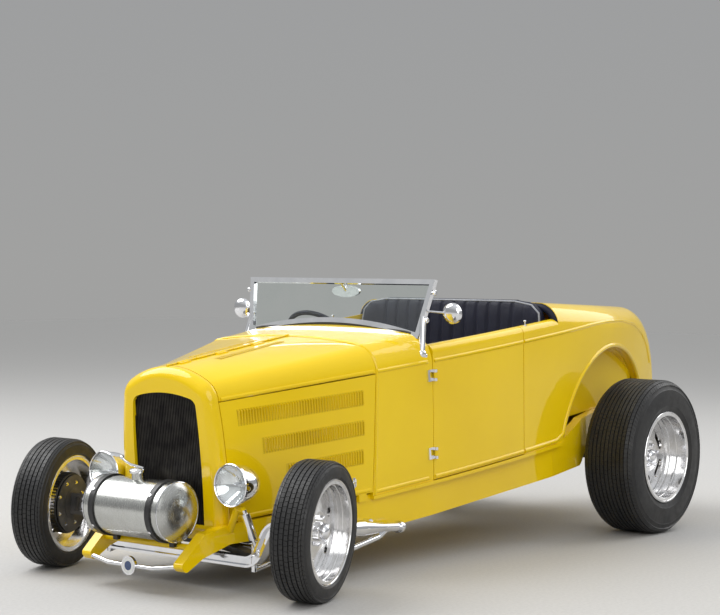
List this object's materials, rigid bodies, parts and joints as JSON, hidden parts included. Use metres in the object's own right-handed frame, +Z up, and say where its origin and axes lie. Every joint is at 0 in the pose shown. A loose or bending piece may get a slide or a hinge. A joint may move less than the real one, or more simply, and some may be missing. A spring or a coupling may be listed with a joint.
{
  "type": "hot rod roadster",
  "caption": "Open hot rod roadster with a long louvred hood, exposed frame rails, narrow front and wide rear wheels, a barrel tank in front and a low raked windshield.",
  "frame": {"origin": "on the ground under the middle of the car", "axes": "+X forward, +Y to the car's left, +Z up"},
  "size_m": [3.934, 1.81, 1.3182],
  "materials": {
    "paint": "gloss",
    "chrome": "polished",
    "polished": "satin",
    "bare_aluminium": "polished",
    "dark_metal": "satin",
    "cast_steel": "satin",
    "spring_steel": "satin",
    "trim": "satin",
    "leather": "satin",
    "glass": "clear",
    "lamp": "gloss",
    "tyre": "matte"
  },
  "bodies": {
    "chassis": {"frame_rail_left": "paint", "frame_rail_right": "paint", "frame_crossmembers": "paint", "spreader_bar": "chrome", "rear_body": "paint", "lid_hinge": "chrome", "wheelhouses": "paint", "hood_side_left": "paint", "hood_side_right": "paint", "cowl": "paint", "door_hinges": "chrome", "dashboard": "trim", "floor": "paint", "grille_shell": "paint", "hood_hinge": "chrome", "grille_insert": "chrome", "radiator": "dark_metal", "engine_block": "dark_metal", "gearbox": "bare_aluminium", "windshield_glass": "glass", "windshield_frame": "polished", "mirrors": "chrome", "seat_base": "leather", "seat_back": "leather", "steering_column": "chrome", "driver_controls": "chrome", "barrel_tank": "chrome", "tank_bracket": "trim", "headlights": "chrome", "headlight_stands": "paint", "front_axle": "chrome", "front_spring": "spring_steel", "radius_rods": "chrome", "rear_axle": "cast_steel", "drive_shaft": "cast_steel", "shock_absorbers": "chrome", "exhausts": "chrome", "fuel_tank": "paint", "tail_lights": "lamp"},
    "front_left_wheel": {"wheel_front_left": "bare_aluminium", "tyre_front_left": "tyre"},
    "front_right_wheel": {"wheel_front_right": "bare_aluminium", "tyre_front_right": "tyre"},
    "rear_left_wheel": {"wheel_rear_left": "bare_aluminium", "tyre_rear_left": "tyre"},
    "rear_right_wheel": {"wheel_rear_right": "bare_aluminium", "tyre_rear_right": "tyre"},
    "left_knuckle": {"knuckle_left": "cast_steel"},
    "right_knuckle": {"knuckle_right": "cast_steel"},
    "track_rod": {"tie_rod": "chrome"},
    "hand_wheel": {"steering_wheel": "trim"},
    "left_door": {"door_left": "paint"},
    "right_door": {"door_right": "paint"},
    "left_hood_top": {"hood_top_left": "paint"},
    "right_hood_top": {"hood_top_right": "paint"},
    "rear_lid": {"decklid": "paint"}
  },
  "joints": [
    {"name": "steer_left", "type": "hinge", "parent": "chassis", "child": "left_knuckle", "pos_m": [1.59212, 0.6, 0.2965], "axis": [-0.1392, 0, 0.9903], "range_deg": [-46, 14]},
    {"name": "steer_right", "type": "hinge", "parent": "chassis", "child": "right_knuckle", "pos_m": [1.59212, -0.6, 0.28691], "axis": [-0.1392, 0, 0.9903], "range_deg": [-46, 14]},
    {"name": "track_rod_pivot", "type": "hinge", "parent": "left_knuckle", "child": "track_rod", "pos_m": [1.46381, 0.55865, 0.17344], "axis": [-0.1392, 0, 0.9903], "range_deg": [-14, 46]},
    {"name": "steering_wheel_turn", "type": "hinge", "parent": "chassis", "child": "hand_wheel", "pos_m": [0.26572, -0.29, 1.00257], "axis": [-0.7533, 0, 0.6576], "range_deg": [-552, 168]},
    {"name": "front_left_roll", "type": "hinge", "parent": "left_knuckle", "child": "front_left_wheel", "pos_m": [1.558, 0.72016, 0.2917], "axis": [-0.273, 0.9613, -0.0384], "continuous": true},
    {"name": "front_right_roll", "type": "hinge", "parent": "right_knuckle", "child": "front_right_wheel", "pos_m": [1.62624, -0.72016, 0.2917], "axis": [-0.273, 0.9613, -0.0384], "continuous": true},
    {"name": "rear_left_roll", "type": "hinge", "parent": "chassis", "child": "rear_left_wheel", "pos_m": [-1.134, 0.7605, 0.4], "axis": [0, 1, 0], "continuous": true},
    {"name": "rear_right_roll", "type": "hinge", "parent": "chassis", "child": "rear_right_wheel", "pos_m": [-1.134, -0.7605, 0.4], "axis": [0, 1, 0], "continuous": true},
    {"name": "left_door_hinge", "type": "hinge", "parent": "chassis", "child": "left_door", "pos_m": [0.51426, 0.57814, 0.87992], "axis": [-0.1044, -0.0454, -0.9935], "range_deg": [0, 65]},
    {"name": "right_door_hinge", "type": "hinge", "parent": "chassis", "child": "right_door", "pos_m": [0.51426, -0.57814, 0.87992], "axis": [0.1044, -0.0454, 0.9935], "range_deg": [0, 65]},
    {"name": "left_hood_hinge", "type": "hinge", "parent": "chassis", "child": "left_hood_top", "pos_m": [1.28574, 0, 0.99714], "axis": [0.9902, 0, -0.1397], "range_deg": [0, 75]},
    {"name": "right_hood_hinge", "type": "hinge", "parent": "chassis", "child": "right_hood_top", "pos_m": [1.28574, 0, 0.99714], "axis": [-0.9902, 0, 0.1397], "range_deg": [0, 75]},
    {"name": "rear_lid_hinge", "type": "hinge", "parent": "chassis", "child": "rear_lid", "pos_m": [-0.65585, 0, 1.20332], "axis": [0, 1, 0], "range_deg": [0, 55]}
  ],
  "couplings": [
    {"joint": "steer_right", "follows": "steer_left", "ratio": 1},
    {"joint": "track_rod_pivot", "follows": "steer_left", "ratio": -1},
    {"joint": "steering_wheel_turn", "follows": "steer_left", "ratio": 12}
  ]
}
